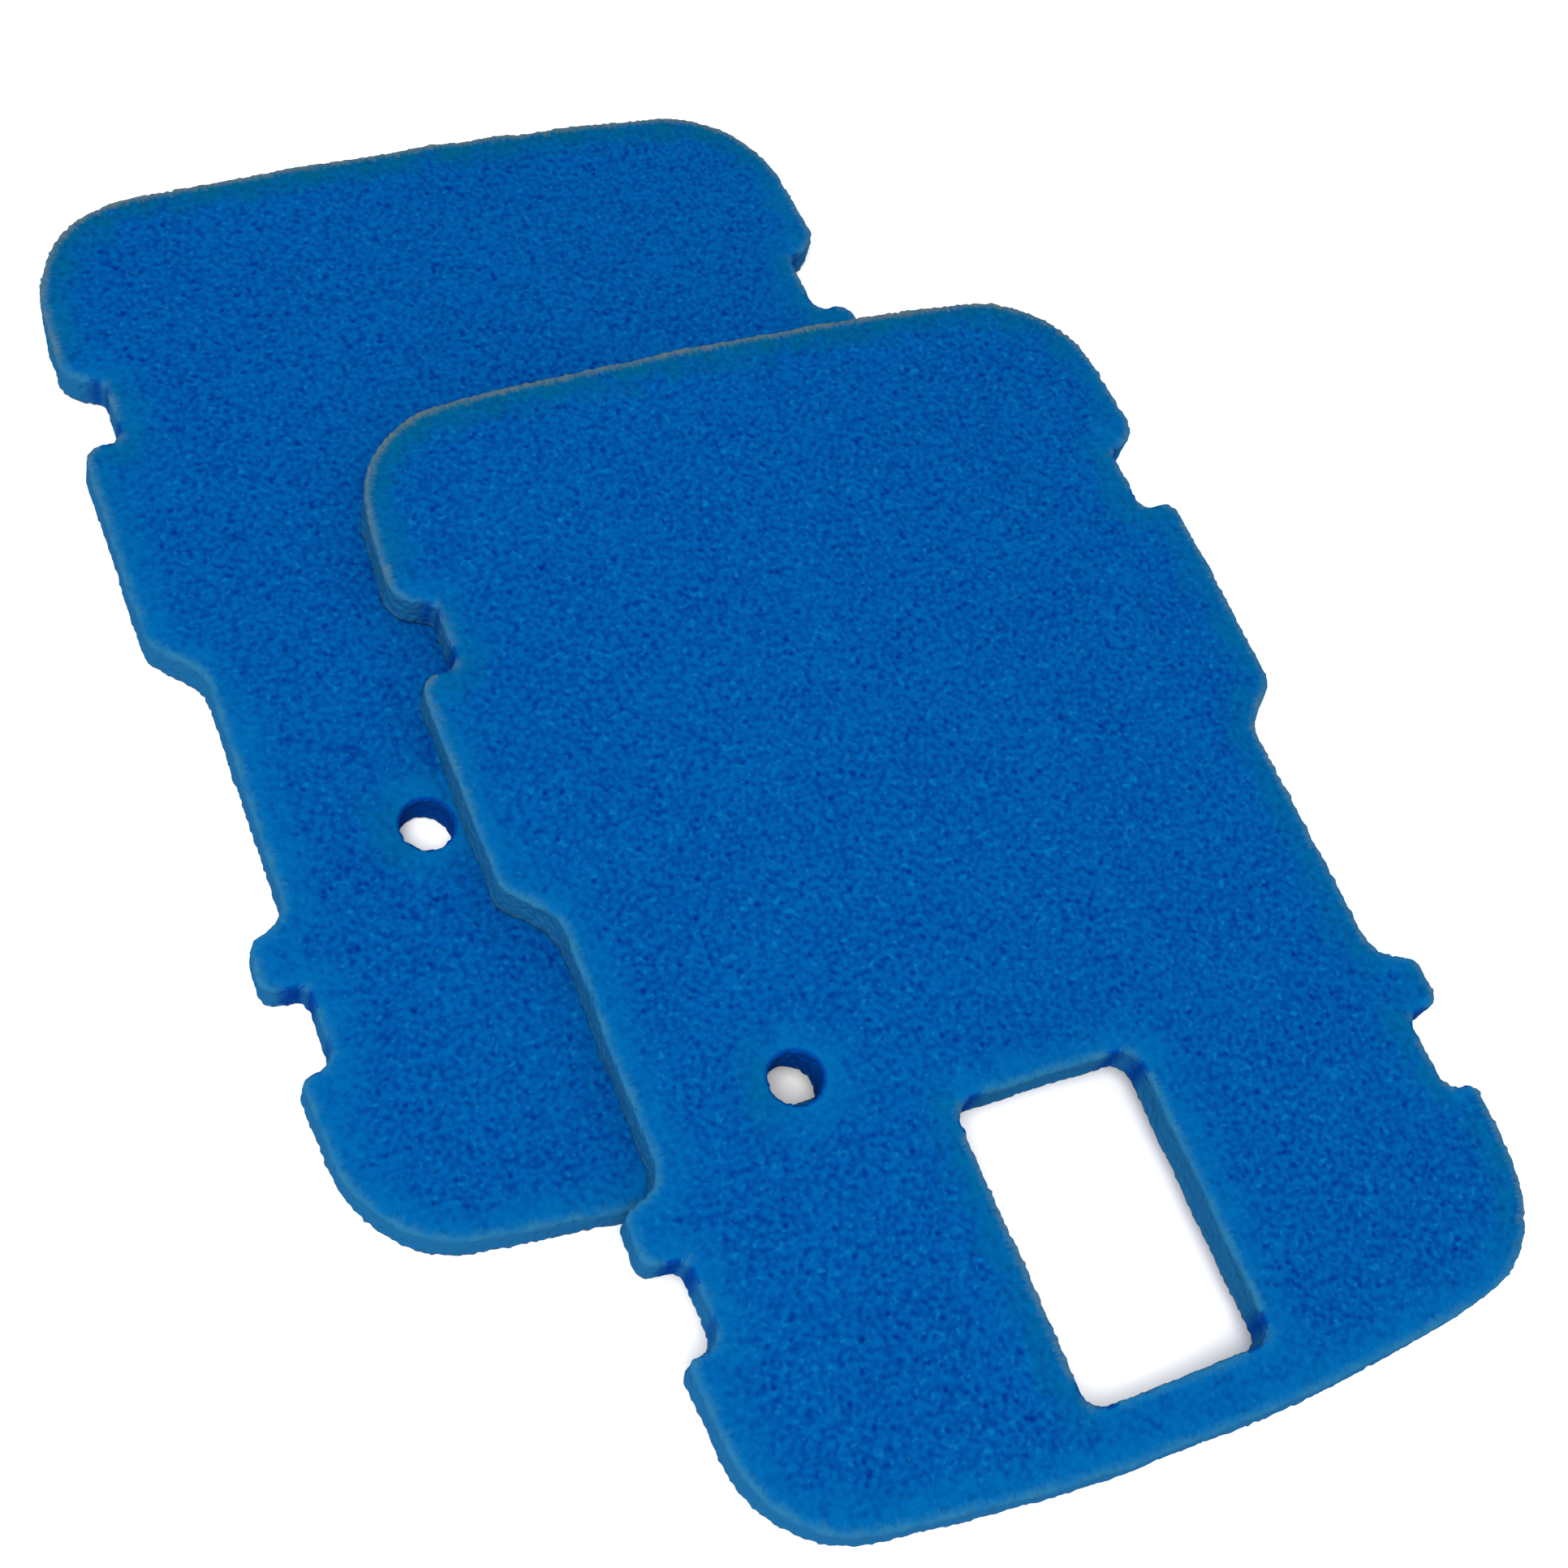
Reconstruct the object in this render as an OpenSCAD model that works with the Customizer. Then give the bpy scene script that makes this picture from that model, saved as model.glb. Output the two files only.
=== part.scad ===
// Pair of flat foam pads for a canister filter: one lies on the other, shifted sideways.
// Each pad is one sheet of open-pore foam, symmetric about its long axis but for one round hole.
// Millimetres. +X across the pads, +Y towards their far end, +Z up.
// The origin is at the middle of the pair, on the surface that the lower pad lies on.

/* [Pad] */
// Length of one pad from end to end
pad_length = 280; // [270:5:300]
// Width of one pad across its shoulders
pad_width = 195; // [175:5:205]
// Thickness of the foam sheet
pad_thickness = 10; // [6:1:20]

/* [Ends] */
// Radius of the far end, which is nearly straight
far_end_radius = 1085; // [700:5:2000]
// Radius of the near end, which is bowed more
near_end_radius = 465; // [420:5:2000]
// Radius of the two far corners
far_corner_radius = 29; // [15:1:32]
// Radius of the two near corners
near_corner_radius = 27; // [12:1:28]
// How far a side leans in for each millimetre that it runs towards an end
side_lean = 0.06; // [0:0.01:0.08]

/* [Edge notches] */
// Depth of the notches from the pad's full width
notch_depth = 9.5; // [8.5:0.5:12]
// Position of the far notch's floor, from the pad's middle to the floor's middle
far_notch_y = 77; // [72:1:80]
// Length of the far notch's floor
far_notch_length = 17; // [12:1:20]
// Position of the near notch's floor
near_notch_y = -81; // [-83:1:-78]
// Length of the near notch's floor
near_notch_length = 18; // [14:1:20]

/* [Waist] */
// Depth of the waist, the long recess in each side
waist_depth = 10; // [7:0.5:12]
// Position of the waist's far end, where its sloping shoulder meets the full width
shoulder_y = 15.5; // [10:0.5:25]
// Length of the sloping shoulder
shoulder_length = 10; // [8:1:14]
// Position of the waist's near end, where the tab starts
waist_end_y = -55; // [-56:0.5:-45]

/* [Window] */
// Width of the rectangular window
window_width = 44; // [25:1:56]
// Length of the rectangular window
window_length = 68; // [40:1:75]
// Distance from the window's near edge to the pad's near end
window_margin = 13; // [12:1:18]
// Radius of the window's corners
window_corner_radius = 4.4; // [2:0.2:8]

/* [Pipe hole] */
// Radius of the round pipe hole
hole_radius = 6; // [4:0.5:10]
// Distance of the hole's centre to the left of the pad's long axis
hole_offset_x = 52.5; // [45:0.5:60]
// Position of the hole's centre along the pad
hole_y = -43; // [-50:0.5:0]

/* [Stack] */
// How far the upper pad lies to the right of the lower one
stack_shift_x = 52; // [40:1:60]
// How far the upper pad lies nearer than the lower one
stack_shift_y = 82; // [60:1:100]
// Gap between the two pads
stack_gap = 0.3; // [0.1:0.1:1]

/* [Hidden] */

foam_blue = [0.02, 0.34, 0.67];
half_width = pad_width / 2;
half_length = pad_length / 2;
notch_x = half_width - notch_depth;
waist_x = half_width - waist_depth;
near_full_x = half_width - 1.8;

// The mouths of the notches open outwards by these lengths, and the tab's far flank slopes.
far_mouth_flare = 4.2;
small_mouth_flare = 1;
tab_flank = 4.6;
far_notch_top = far_notch_y + far_notch_length / 2;
far_notch_bottom = far_notch_y - far_notch_length / 2;
near_notch_top = near_notch_y + near_notch_length / 2;
near_notch_bottom = near_notch_y - near_notch_length / 2;

// Corners of the right side from the far end to the near end: [x, y, fillet radius]
SIDE_CORNERS = [
    [half_width - 0.5, far_notch_top + far_mouth_flare, 7],
    [notch_x, far_notch_top, 2],
    [notch_x, far_notch_bottom, 3.6],
    [half_width, far_notch_bottom + small_mouth_flare, 4.3],
    [half_width, shoulder_y, 5.5],
    [waist_x, shoulder_y - shoulder_length, 9],
    [waist_x, waist_end_y, 7.8],
    [half_width - 0.5, waist_end_y - tab_flank, 3.4],
    [half_width, near_notch_top + small_mouth_flare, 3.8],
    [notch_x, near_notch_top, 2.7],
    [notch_x, near_notch_bottom, 4.7],
    [near_full_x, near_notch_bottom - small_mouth_flare, 2.6]
];

END_ARC_STEPS = 16;
CORNER_ARC_STEPS = 14;
FILLET_STEPS = 8;
CUT_OVERLAP = 1;
HOLE_FACETS = 96;

function unit(v) = v / norm(v);
function angle_of(v) = atan2(v.y, v.x);

// The shorter way round from angle a to angle b
function turn(a, b) = (b - a + 540) % 360 - 180;

function arc(centre, radius, from, sweep, steps) =
    [for (i = [0 : steps]) let(a = from + sweep * i / steps) centre + radius * [cos(a), sin(a)]];

// The fillet that replaces corner b between its neighbours a and c
function fillet(a, b, c, radius, steps) =
    let(
        u = unit(a - b),
        v = unit(c - b),
        half_angle = acos(u * v) / 2,
        centre = b + unit(u + v) * radius / sin(half_angle),
        tangent_length = radius / tan(half_angle),
        from = angle_of(b + u * tangent_length - centre),
        to = angle_of(b + v * tangent_length - centre)
    )
    arc(centre, radius, from, turn(from, to), steps);

function xy(p) = [p.x, p.y];

// One end from the long axis out to the side: the bowed end, then the rounded corner.
// sign is 1 for the far end and -1 for the near end, and the side starts at point start.
function end_outline(start, sign, end_radius, corner_radius) =
    let(
        end_centre = [0, sign * (half_length - end_radius)],
        along = unit([-side_lean, sign]),
        inward = -sign * [along.y, -along.x],
        first = start + inward * corner_radius,
        gap = first - end_centre,
        b = gap * along,
        run = sqrt(b * b - gap * gap + pow(end_radius - corner_radius, 2)) - b,
        corner_centre = first + along * run,
        meet = angle_of(corner_centre - end_centre),
        side = angle_of(-inward)
    )
    concat(
        arc(end_centre, end_radius, sign * 90, turn(sign * 90, meet), END_ARC_STEPS),
        arc(corner_centre, corner_radius, meet, turn(meet, side), CORNER_ARC_STEPS)
    );

function backwards(points) = [for (i = [len(points) - 1 : -1 : 0]) points[i]];

function right_half() =
    let(
        last = len(SIDE_CORNERS) - 1,
        far = end_outline(xy(SIDE_CORNERS[0]), 1, far_end_radius, far_corner_radius),
        near = end_outline(xy(SIDE_CORNERS[last]), -1, near_end_radius, near_corner_radius),
        before = far[len(far) - 1],
        after = near[len(near) - 1]
    )
    concat(
        far,
        [for (i = [0 : last])
            let(
                a = i == 0 ? before : xy(SIDE_CORNERS[i - 1]),
                c = i == last ? after : xy(SIDE_CORNERS[i + 1])
            )
            each fillet(a, xy(SIDE_CORNERS[i]), c, SIDE_CORNERS[i].z, FILLET_STEPS)],
        backwards(near)
    );

function pad_outline() =
    let(right = right_half())
    concat(right, [for (i = [len(right) - 2 : -1 : 1]) [-right[i].x, right[i].y]]);

function window_outline() =
    let(
        x = window_width / 2,
        y0 = window_margin - half_length,
        corners = [[x, y0], [x, y0 + window_length], [-x, y0 + window_length], [-x, y0]]
    )
    [for (i = [0 : 3])
        each fillet(corners[(i + 3) % 4], corners[i], corners[(i + 1) % 4],
                    window_corner_radius, FILLET_STEPS)];

module foam_sheet() {
    linear_extrude(pad_thickness) polygon(pad_outline());
}

module window_cut() {
    translate([0, 0, -CUT_OVERLAP])
        linear_extrude(pad_thickness + 2 * CUT_OVERLAP) polygon(window_outline());
}

module pipe_hole_cut() {
    translate([-hole_offset_x, hole_y, -CUT_OVERLAP])
        cylinder(h = pad_thickness + 2 * CUT_OVERLAP, r = hole_radius, $fn = HOLE_FACETS);
}

module foam_pad() {
    difference() {
        foam_sheet();
        window_cut();
        pipe_hole_cut();
    }
}

module lower_pad() {
    color(foam_blue)
        translate([-stack_shift_x / 2, stack_shift_y / 2, 0]) foam_pad();
}

module upper_pad() {
    color(foam_blue)
        translate([stack_shift_x / 2, -stack_shift_y / 2, pad_thickness + stack_gap]) foam_pad();
}

lower_pad();
upper_pad();
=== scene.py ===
"""Looks of a pair of flat filter foam pads, one lying shifted on the other.

Each pad is rebuilt from its CAD solid: remeshed finely, its cut edges softened and made a
little uneven, and its whole surface pitted with the open pores of coarse reticulated foam.
Lengths inside the mesh code are millimetres, because the foam's detail is that small.
"""

import math
from itertools import product

import bpy
import numpy as np
from mathutils import Matrix, Vector, kdtree


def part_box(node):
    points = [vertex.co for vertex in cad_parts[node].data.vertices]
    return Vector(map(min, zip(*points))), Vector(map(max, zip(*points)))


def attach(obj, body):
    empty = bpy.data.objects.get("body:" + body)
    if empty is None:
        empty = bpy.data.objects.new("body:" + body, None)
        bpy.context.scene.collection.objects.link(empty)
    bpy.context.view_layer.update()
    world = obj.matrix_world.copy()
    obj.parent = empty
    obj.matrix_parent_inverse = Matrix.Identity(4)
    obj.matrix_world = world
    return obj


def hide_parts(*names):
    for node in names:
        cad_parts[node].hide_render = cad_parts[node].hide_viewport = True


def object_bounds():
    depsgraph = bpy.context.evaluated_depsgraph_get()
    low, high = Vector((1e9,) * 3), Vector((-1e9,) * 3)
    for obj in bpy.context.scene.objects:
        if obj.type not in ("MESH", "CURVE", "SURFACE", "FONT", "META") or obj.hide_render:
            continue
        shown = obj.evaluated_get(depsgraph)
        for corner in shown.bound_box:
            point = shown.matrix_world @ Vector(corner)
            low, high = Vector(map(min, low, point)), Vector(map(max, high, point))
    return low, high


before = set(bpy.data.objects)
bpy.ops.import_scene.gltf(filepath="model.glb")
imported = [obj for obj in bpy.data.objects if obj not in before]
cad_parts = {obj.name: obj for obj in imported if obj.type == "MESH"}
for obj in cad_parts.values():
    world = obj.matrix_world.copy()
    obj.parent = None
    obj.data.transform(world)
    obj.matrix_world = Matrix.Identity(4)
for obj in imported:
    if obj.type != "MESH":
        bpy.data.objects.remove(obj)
CAD_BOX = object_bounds()

MM = 0.001

# The foam's structure, in millimetres
VOXEL = 0.5
OUTLINE_STEP = 0.12
PORE_SPACING = 1.6
PORE_DEPTH = 0.65
PORE_RADII = (0.45, 0.80)  # in pore spacings
PORE_STRENGTHS = (0.30, 1.0)  # shares of the full depth
RIM_PORE_LOSS = 0.5  # the share of a pore's depth that is lost at the rims
GRAIN_SPACING = 0.9
GRAIN_HEIGHT = 0.12
RIM_RADIUS = 1.2
RIM_REACH = (0.4, 1.8)
EDGE_WANDER = 0.35
EDGE_WANDER_SPACING = 9.0
EDGE_WANDER_REACH = 4.0
FACE_WANDER = 0.18
FACE_WANDER_SPACING = 45.0
RAGGED_HEIGHT = 0.3
RAGGED_SPACING = 0.9
SHELTER_REACH = 9.0
FRINGE_STRETCH = 0.4

# The camera: degrees round, up and turned in its own plane, then its lens in millimetres,
# its distance in metres, and where it aims from the middle of the pads in millimetres
CAMERA_ANGLES = (43.8, 59.1, 24.6)
CAMERA_LENS = 55.9
CAMERA_DISTANCE = 0.5504
CAMERA_AIM = (1.6, -14.8, 0.0)

# The studio, with its floor in metres
AMBIENT = 0.95
KEY_WATTS = 26.0
FLOOR_SIZE = 6.0

# Where the far end's colours reach: shares of a pad's length, and how much an edge faces that way
FAR_ALONG = (0.55, 0.9)
FAR_FACING = (-0.8, 0.9)
RIGHT_FACING = (0.3, 0.9)
RIGHT_SHARE = 0.5

# The foam's mottling, as noise scales per metre, and the fibres' per millimetre
CELL_SCALE = 900.0
MOTTLE_SCALE = 700.0
SPECK_SCALE = 610.0
CLUMP_SCALE = 190.0
PATCH_SCALE = 60.0
FIBRE_SCALE = 1.5

# Where the cut edges change colour, in millimetres: full colour at a pair's second number
BAND_EDGE = (10.0, 0.5)
BAND_WANDER = 14.0
WALL_EDGE = (1.0, 0.3)
FRAY_RIM = (2.3, 0.4)
FRAY_WANDER = 4.0
# the painted contact shadow along the lower rim, as drops below the top face
CONTACT_SHADOW_DROP = (8.2, 9.6)

# The foam's colours, linear
STRUT_BLUE = (0.0, 0.067, 0.240, 1)
# painted shade for the open cells, mixed in by the pores' depth
PORE_SHADE_BLUE = (0.0, 0.0165, 0.152, 1)
EDGE_BLUE = (0.0, 0.083, 0.248, 1)
TEAL = (0.0, 0.068, 0.130, 1)
# pale frayed fibres along open rims, with a painted highlight on them
RIM_HIGHLIGHT_BLUE = (0.014, 0.108, 0.222, 1)
WALL_BLUE = (0.010, 0.094, 0.218, 1)
RIM_GREY = (0.068, 0.104, 0.118, 1)
# painted contact shadow along the walls' lower rim
CONTACT_SHADOW_GREY = (0.020, 0.045, 0.080, 1)
# painted shade for walls in the notches and the hole
SHELTER_SHADE_BLUE = (0.0, 0.018, 0.190, 1)
SPECK_BLUE = (0.002, 0.130, 0.300, 1)
FLOOR_WHITE = (0.90, 0.90, 0.90, 1)


# ---------------------------------------------------------------- numeric helpers
def smoothstep(low, high, x):
    t = np.clip((x - low) / (high - low), 0, 1)
    return t * t * (3 - 2 * t)


def lattice(points, spacing, margin):
    """Each point's cell in a cubic lattice over the points, and the lattice's shape."""
    scaled = points / spacing
    first = np.floor(scaled.min(0)).astype(int) - margin
    cell = np.floor(scaled).astype(int) - first
    shape = cell.max(0) + margin + 2
    return scaled - first, cell, shape


def smooth_noise(points, spacing, rng):
    """Value noise from -1 to 1 that changes smoothly over one spacing."""
    scaled, cell, shape = lattice(points, spacing, 0)
    values = rng.uniform(-1, 1, shape)
    t = scaled - cell
    t = t * t * (3 - 2 * t)
    total = np.zeros(len(points))
    for corner in product((0, 1), repeat=3):
        i, j, k = (cell + corner).T
        share = np.prod(np.where(corner, t, 1 - t), axis=1)
        total += share * values[i, j, k]
    return total


def pore_depth(points, spacing, rng):
    """How deep each point lies in the open cells of a random foam, from 0 to 1."""
    scaled, cell, shape = lattice(points, spacing, 1)
    centre = rng.uniform(0.0, 1.0, (*shape, 3))
    radius = rng.uniform(*PORE_RADII, shape)
    strength = rng.uniform(*PORE_STRENGTHS, shape)
    deepest = np.zeros(len(points))
    for step in product((-1, 0, 1), repeat=3):
        other = cell + step
        i, j, k = other.T
        away = np.linalg.norm(other + centre[i, j, k] - scaled, axis=1)
        depth = strength[i, j, k] * (1 - smoothstep(0.1, 1.0, away / radius[i, j, k]))
        deepest = np.maximum(deepest, depth)
    return deepest


# ---------------------------------------------------------------- the pads' meshes
def edge_outline(node_object):
    """Points along the pad's outline, window and hole, where its walls meet its top face."""
    mesh = node_object.data
    mesh.calc_loop_triangles()
    co = np.array([v.co for v in mesh.vertices]) / MM
    top = co[:, 2].max()
    ends = set()
    for tri in mesh.loop_triangles:
        if abs(tri.normal.z) > 0.5:
            continue
        high = [v for v in tri.vertices if co[v][2] > top - 0.01]
        if len(high) == 2:
            ends.add(tuple(high))
    samples = []
    for a, b in ends:
        steps = max(1, int(np.linalg.norm(co[b] - co[a]) / OUTLINE_STEP))
        share = np.arange(steps)[:, None] / steps
        samples.append(co[a][:2] * (1 - share) + co[b][:2] * share)
    return np.vstack(samples)


def outline_tree(outline):
    tree = kdtree.KDTree(len(outline))
    for i, (x, y) in enumerate(outline):
        tree.insert((x, y, 0), i)
    tree.balance()
    return tree


def shelter(nearest, outward, edge, tree):
    """Near 0 by an open edge, and up to 1 by an edge that faces another close by."""
    value = np.zeros(len(edge))
    near = edge < SHELTER_REACH
    ahead = nearest[near] + outward[near] * SHELTER_REACH
    clear = np.array([tree.find((x, y, 0))[2] for x, y in ahead])
    value[near] = 1 - clear / SHELTER_REACH
    return value


def remeshed(node_object, name):
    """A copy of a CAD solid as an even net of small quads."""
    source = node_object.copy()
    source.data = node_object.data.copy()
    source.parent = None
    bpy.context.scene.collection.objects.link(source)
    remesh = source.modifiers.new("remesh", "REMESH")
    remesh.mode = "VOXEL"
    remesh.voxel_size = VOXEL * MM
    graph = bpy.context.evaluated_depsgraph_get()
    mesh = bpy.data.meshes.new_from_object(source.evaluated_get(graph))
    bpy.data.objects.remove(source)
    piece = bpy.data.objects.new(name, mesh)
    bpy.context.scene.collection.objects.link(piece)
    mesh.materials.clear()
    for polygon in mesh.polygons:
        polygon.use_smooth = True
    return piece


def read_vectors(items, what):
    values = np.empty(len(items) * 3)
    items.foreach_get(what, values)
    return values.reshape(-1, 3)


def store(mesh, name, values):
    kind, field = ("FLOAT", "value") if values.ndim == 1 else ("FLOAT_VECTOR", "vector")
    layer = mesh.attributes.new(name, kind, "POINT")
    layer.data.foreach_set(field, values.astype(np.float32).ravel())


def foam_pad(node, name, seed):
    """A pad's visible mesh: its CAD solid with soft uneven edges and open pores."""
    rng = np.random.default_rng(seed)
    piece = remeshed(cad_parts[node], name)
    mesh = piece.data
    co = read_vectors(mesh.vertices, "co") / MM
    normal = read_vectors(mesh.vertices, "normal")
    low, high = (np.array(corner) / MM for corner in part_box(node))
    facing = np.where(co[:, 2] > (low[2] + high[2]) / 2, 1.0, -1.0)
    depth = np.minimum(high[2] - co[:, 2], co[:, 2] - low[2]).clip(0)

    # Where the outline is, seen from each point
    outline = edge_outline(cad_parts[node])
    tree = outline_tree(outline)
    nearest = outline[[tree.find((x, y, 0))[1] for x, y in co[:, :2]]]
    way = nearest - co[:, :2]
    edge = np.linalg.norm(way, axis=1)
    outward = way / np.maximum(edge, 1e-6)[:, None]
    level = np.linalg.norm(normal[:, :2], axis=1)
    on_wall = level > 0.5
    outward[on_wall] = normal[on_wall, :2] / level[on_wall, None]
    rim = np.hypot(edge, depth)

    # Numbers for the material, all from the even shape
    store(mesh, "edge", edge)
    store(mesh, "rim", rim)
    along = (co[:, 1] - low[1]) / (high[1] - low[1])
    far_edge = smoothstep(*FAR_ALONG, along) * smoothstep(*FAR_FACING, outward[:, 1])
    right_edge = smoothstep(*RIGHT_FACING, outward[:, 0]) * RIGHT_SHARE
    store(mesh, "far", np.maximum(far_edge, right_edge))
    drop = high[2] - co[:, 2]
    # The drop below the top face; the material paints a contact shadow along the lower rim with
    # it
    store(mesh, "drop", drop)
    # How closely each edge faces another: the material paints shade with it on walls in the
    # notches and the hole
    store(mesh, "shelter", shelter(nearest, outward, edge, tree))
    store(mesh, "fringe", np.column_stack((nearest, drop + FRINGE_STRETCH * edge)))

    # The knife's corners are rounded over.
    across = (RIM_RADIUS - edge).clip(0)
    down = (RIM_RADIUS - depth).clip(0)
    reach = np.hypot(across, down)
    pull = (reach - RIM_RADIUS).clip(0) / np.maximum(reach, 1e-6)
    co[:, :2] -= outward * (across * pull)[:, None]
    co[:, 2] -= facing * down * pull

    # The cut wanders a little, and the sheet isn't quite even.
    sway = smooth_noise(co, EDGE_WANDER_SPACING, rng) * np.exp(-edge / EDGE_WANDER_REACH)
    hollow = smooth_noise(co, FACE_WANDER_SPACING, rng) + 1
    co[:, :2] += outward * (EDGE_WANDER * sway)[:, None]
    co[:, 2] -= facing * FACE_WANDER / 2 * hollow

    # Cells open in every face, and cut struts stand ragged along the rims.
    pore = pore_depth(co, PORE_SPACING, rng)
    grain = smooth_noise(co, GRAIN_SPACING, rng)
    ragged = smooth_noise(co, RAGGED_SPACING, rng)
    at_rim = 1 - smoothstep(*RIM_REACH, rim)
    height = GRAIN_HEIGHT * grain - PORE_DEPTH * pore * (1 - RIM_PORE_LOSS * at_rim)
    co += normal * (height + RAGGED_HEIGHT * ragged * at_rim)[:, None]
    mesh.vertices.foreach_set("co", (co * MM).ravel())
    mesh.update()
    # The pores' depth, which the material also paints as shade in the cells
    store(mesh, "pore", pore)
    return piece


# ---------------------------------------------------------------- materials
class Shader:
    """A new material's node tree, with short calls to add and join nodes."""

    def __init__(self, name):
        self.material = bpy.data.materials.new(name)
        self.material.use_nodes = True
        self.tree = self.material.node_tree
        self.principled = self.tree.nodes["Principled BSDF"]

    def node(self, kind, inputs=(), **settings):
        made = self.tree.nodes.new("ShaderNode" + kind)
        for key, value in settings.items():
            setattr(made, key, value)
        for key, value in dict(inputs).items():
            self.feed(made.inputs[key], value)
        return made

    def feed(self, socket, value):
        if isinstance(value, bpy.types.NodeSocket):
            self.tree.links.new(value, socket)
        else:
            socket.default_value = value

    def attribute(self, name):
        return self.node("Attribute", attribute_name=name).outputs["Fac"]

    def math(self, operation, a, b):
        return self.node("Math", {0: a, 1: b}, operation=operation).outputs[0]

    def ramp(self, value, low, high):
        """value from low to high, as 0 to 1."""
        inputs = {"Value": value, "From Min": low, "From Max": high}
        return self.node("MapRange", inputs).outputs["Result"]

    def mix(self, share, a, b):
        inputs = {"Factor": share}
        made = self.node("Mix", inputs, data_type="RGBA")
        self.feed(made.inputs[6], a)
        self.feed(made.inputs[7], b)
        return made.outputs[2]

    def noise(self, place, scale, detail):
        inputs = {"Vector": place, "Scale": scale, "Detail": detail}
        return self.node("TexNoise", inputs).outputs["Fac"]


def foam_material():
    """Blue filter foam: struts over dark open cells with painted shade in the cells, paler and
    frayed along the cut edges with a painted highlight on open rims, painted shade on walls in
    the notches and the hole, and a painted contact shadow along the lower rim.
    """
    s = Shader("blue_foam")
    place = s.node("TexCoord").outputs["Object"]
    pore = s.attribute("pore")
    edge = s.attribute("edge")
    rim = s.attribute("rim")
    far = s.attribute("far")
    # 1 by open edges, 0 where painted shade falls in the notches and the hole
    open_edge = s.ramp(s.attribute("shelter"), 0.45, 0.10)
    fringe = s.node("Attribute", attribute_name="fringe").outputs["Vector"]

    cells = s.node("TexVoronoi", {"Vector": place, "Scale": CELL_SCALE}).outputs["Distance"]
    mottle = s.ramp(s.noise(place, MOTTLE_SCALE, 0.5), 0.32, 0.68)
    patches = s.ramp(s.noise(place, PATCH_SCALE, 2.0), 0.35, 0.65)
    clumps = s.noise(place, CLUMP_SCALE, 2.0)
    fibres = s.noise(fringe, FIBRE_SCALE, 4.0)

    # Pale struts, dark cells: painted shade in the cells, following the pores' depth, mixed with
    # random mottle and patches
    depth = s.math("ADD", s.math("MULTIPLY", pore, 0.55), s.math("MULTIPLY", mottle, 0.55))
    depth = s.math("ADD", depth, s.math("MULTIPLY", patches, 0.1))
    colour = s.mix(s.ramp(depth, 0.15, 1.05), STRUT_BLUE, PORE_SHADE_BLUE)
    specks = s.ramp(s.noise(place, SPECK_SCALE, 1.0), 0.60, 0.76)
    colour = s.mix(s.math("MULTIPLY", specks, 0.5), colour, SPECK_BLUE)

    # A band inside the cut edges is lighter, and greener at the far end and on the right.
    reach = s.math("MULTIPLY", s.math("SUBTRACT", clumps, 0.5), BAND_WANDER)
    band = s.ramp(s.math("ADD", edge, reach), *BAND_EDGE)
    band_colour = s.mix(far, EDGE_BLUE, TEAL)
    colour = s.mix(s.math("MULTIPLY", band, 0.85), colour, band_colour)

    # Walls take a paler blue where they are open; painted shade deepens their blue in the notches
    # and the hole, where edges face each other close by.
    wall = s.ramp(edge, *WALL_EDGE)
    wall_colour = s.mix(open_edge, SHELTER_SHADE_BLUE, WALL_BLUE)
    colour = s.mix(s.math("MULTIPLY", wall, 0.7), colour, wall_colour)

    # Frayed strut ends along the rims, pale in their own colour and with a painted highlight,
    # kept off the rims in the notches and the hole, where painted shade falls; and a painted
    # contact shadow along the lower rim
    fray = s.math("MULTIPLY", s.math("SUBTRACT", fibres, 0.5), FRAY_WANDER)
    fray_highlight = s.ramp(s.math("SUBTRACT", rim, fray), *FRAY_RIM)
    fray_highlight = s.math("MULTIPLY", fray_highlight, open_edge)
    patchy = s.ramp(clumps, 0.25, 0.60)
    patchy = s.math("MAXIMUM", patchy, far)
    rim_colour = s.mix(far, RIM_HIGHLIGHT_BLUE, RIM_GREY)
    colour = s.mix(s.math("MULTIPLY", fray_highlight, patchy), colour, rim_colour)
    # painted contact shadow along the lower rim
    contact_shadow = s.math("MULTIPLY", wall, s.ramp(s.attribute("drop"), *CONTACT_SHADOW_DROP))
    colour = s.mix(s.math("MULTIPLY", contact_shadow, 0.7), colour, CONTACT_SHADOW_GREY)

    grain = s.math("ADD", s.math("MULTIPLY", fibres, 0.3), cells)
    bump = s.node("Bump", {"Height": grain, "Strength": 0.3, "Distance": 0.0003})
    s.feed(s.principled.inputs["Base Color"], colour)
    s.feed(s.principled.inputs["Normal"], bump.outputs["Normal"])
    s.feed(s.principled.inputs["Roughness"], 0.95)
    s.feed(s.principled.inputs["Specular IOR Level"], 0.01)
    return s.material


def floor_material():
    s = Shader("pale_floor")
    s.feed(s.principled.inputs["Base Color"], FLOOR_WHITE)
    s.feed(s.principled.inputs["Roughness"], 0.9)
    s.feed(s.principled.inputs["Specular IOR Level"], 0.1)
    return s.material


# ---------------------------------------------------------------- the stage
def direction(azimuth, elevation):
    """The way from the pads to something round them; azimuth 0 is at their near end."""
    level = math.cos(elevation)
    return Vector((-math.sin(azimuth) * level, -math.cos(azimuth) * level, math.sin(elevation)))


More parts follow.
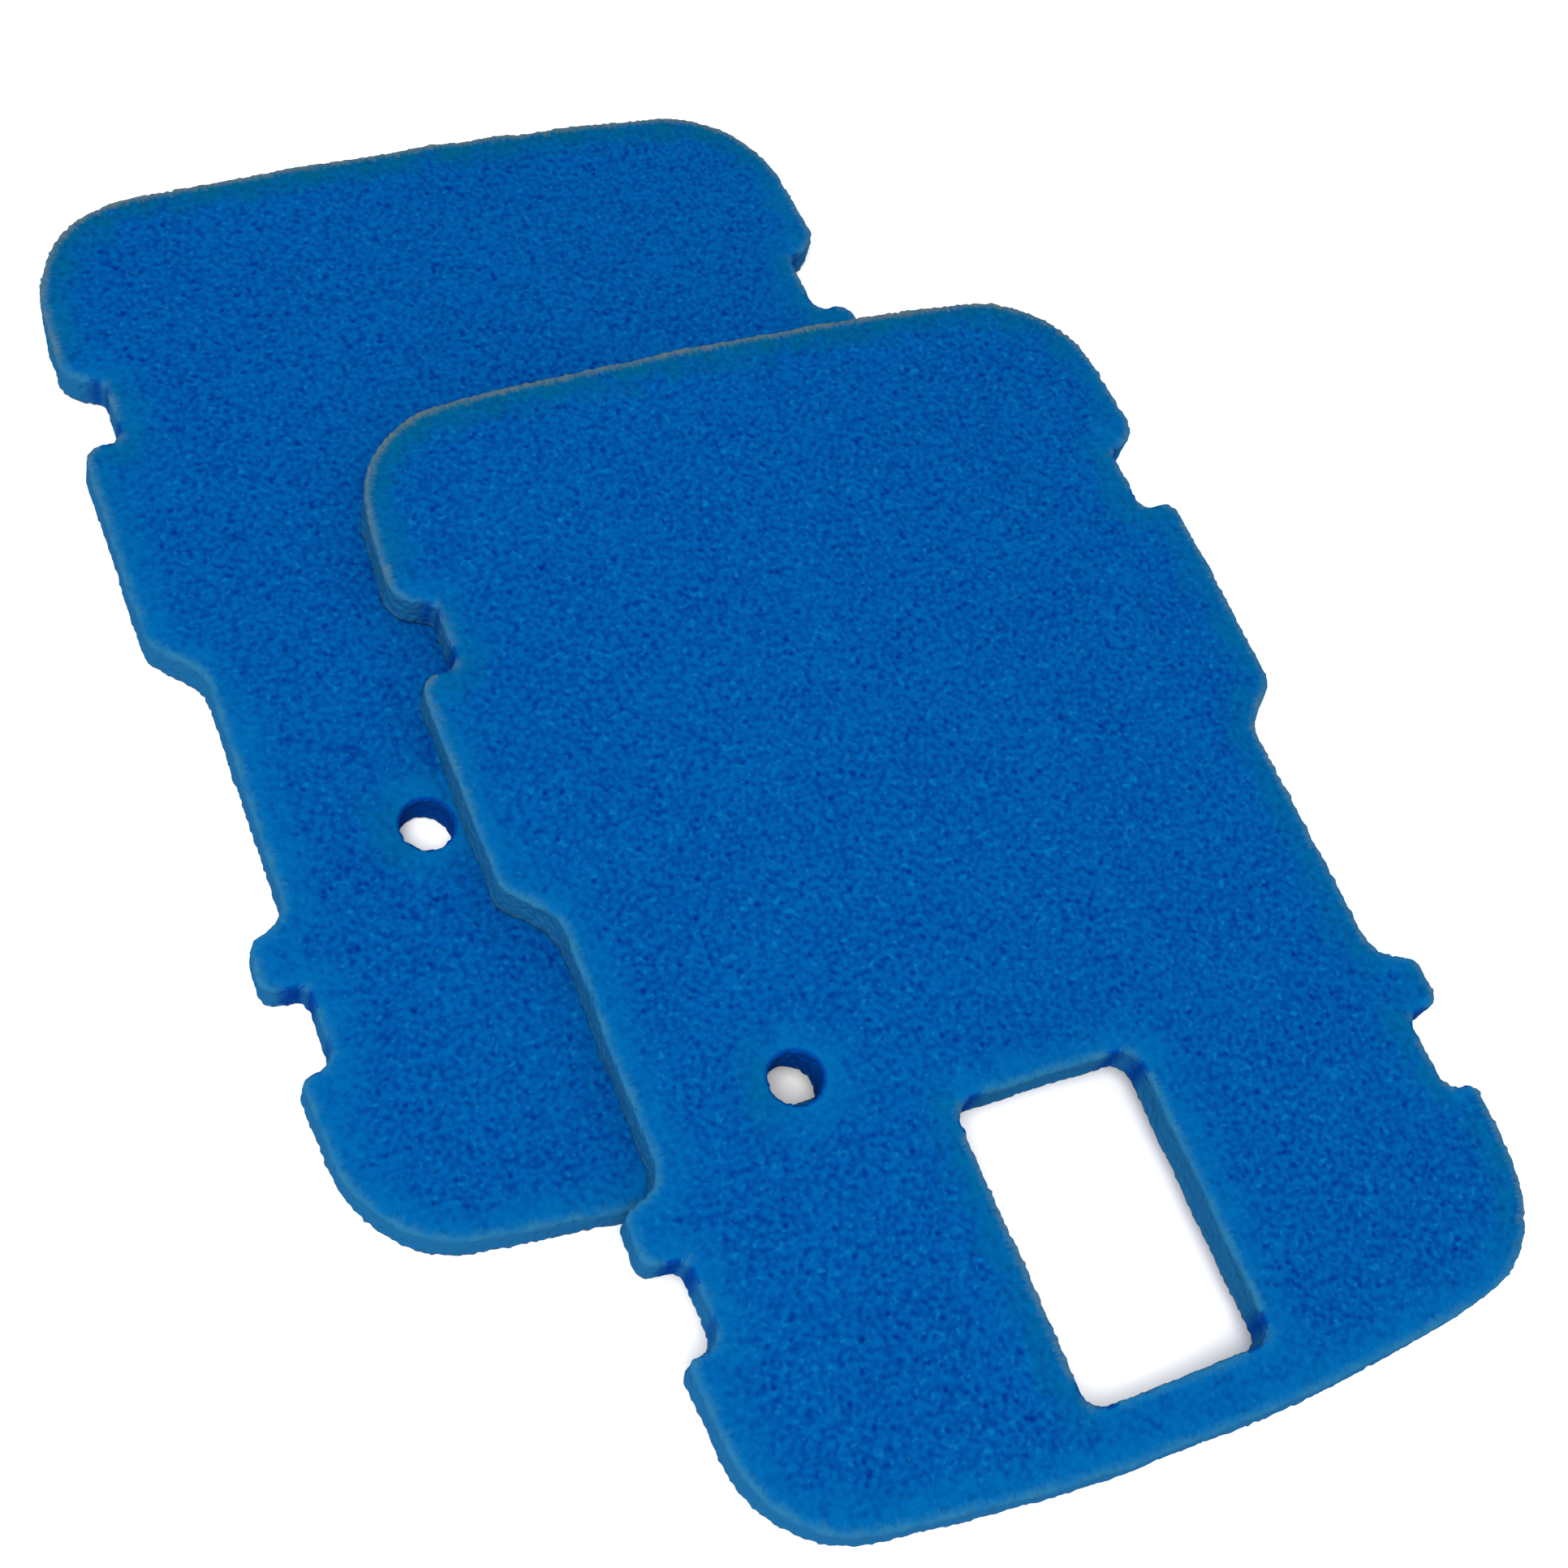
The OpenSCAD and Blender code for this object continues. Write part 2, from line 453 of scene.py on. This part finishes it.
def add_camera():
    """Looks down on the near left of the pair, turned in its own plane."""
    low, high = CAD_BOX
    target = (low + high) / 2 + Vector(CAMERA_AIM) * MM
    azimuth, elevation, roll = map(math.radians, CAMERA_ANGLES)
    away = direction(azimuth, elevation)
    data = bpy.data.cameras.new("camera")
    data.sensor_width = 36
    data.lens = CAMERA_LENS
    camera = bpy.data.objects.new("camera", data)
    bpy.context.scene.collection.objects.link(camera)
    turn = away.to_track_quat("Z", "Y").to_matrix().to_4x4()
    place = Matrix.Translation(target + away * CAMERA_DISTANCE)
    camera.matrix_world = place @ turn @ Matrix.Rotation(roll, 4, "Z")
    bpy.context.scene.camera = camera


def add_floor():
    bpy.ops.mesh.primitive_plane_add(size=FLOOR_SIZE, location=(0, 0, CAD_BOX[0].z))
    floor = bpy.context.object
    floor.name = "floor"
    floor.data.materials.append(floor_material())


def add_softbox(name, azimuth, elevation, distance, size, power):
    away = direction(math.radians(azimuth), math.radians(elevation))
    data = bpy.data.lights.new(name, "AREA")
    data.shape = "SQUARE"
    data.size = size
    data.energy = power
    light = bpy.data.objects.new(name, data)
    light.location = (CAD_BOX[0] + CAD_BOX[1]) / 2 + away * distance
    light.rotation_euler = away.to_track_quat("Z", "Y").to_euler()
    bpy.context.scene.collection.objects.link(light)


def add_light():
    world = bpy.data.worlds.new("studio")
    world.use_nodes = True
    background = world.node_tree.nodes["Background"]
    background.inputs["Color"].default_value = (1, 1, 1, 1)
    background.inputs["Strength"].default_value = AMBIENT
    bpy.context.scene.world = world
    add_softbox("key", azimuth=48, elevation=62, distance=1.6, size=0.7, power=KEY_WATTS)
    bpy.context.scene.view_settings.view_transform = "Standard"


# ---------------------------------------------------------------- assembly
def add_pad(node, body, name, seed, material):
    piece = foam_pad(node, name, seed)
    piece.data.materials.append(material)
    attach(piece, body)
    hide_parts(node)


add_camera()
add_floor()
add_light()
foam = foam_material()
add_pad("lower_pad", "lower_pad_body", "lower_foam", 11, foam)
add_pad("upper_pad", "upper_pad_body", "upper_foam", 23, foam)
